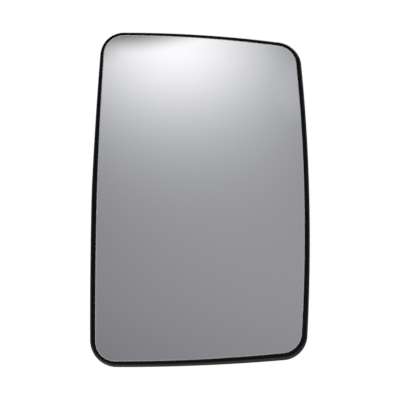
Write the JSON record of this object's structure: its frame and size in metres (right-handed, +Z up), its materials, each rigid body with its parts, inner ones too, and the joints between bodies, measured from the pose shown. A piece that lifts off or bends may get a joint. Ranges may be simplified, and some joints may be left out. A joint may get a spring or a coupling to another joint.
{
  "type": "door mirror glass",
  "caption": "Tall convex door mirror glass with rounded corners, bonded in a black moulded plate whose back carries ribs and a ring of spring clips.",
  "frame": {"origin": "centre of the circle that the tips of the clip's barbs make, on the axis of the clip ring", "axes": "+Y out of the mouth of the clip ring at the back, so the glass faces -Y; +Z up as on the vehicle; +X to the right of someone who looks into the glass"},
  "size_m": [0.1789, 0.0184, 0.2817],
  "materials": {
    "mirror_glass": "polished",
    "adhesive_pad": "closed-cell foam",
    "backing_plate": "satin moulded plastic"
  },
  "bodies": {
    "root": {"mirror_glass": "mirror_glass", "adhesive_pad": "adhesive_pad", "backing_plate": "backing_plate"}
  },
  "joints": []
}
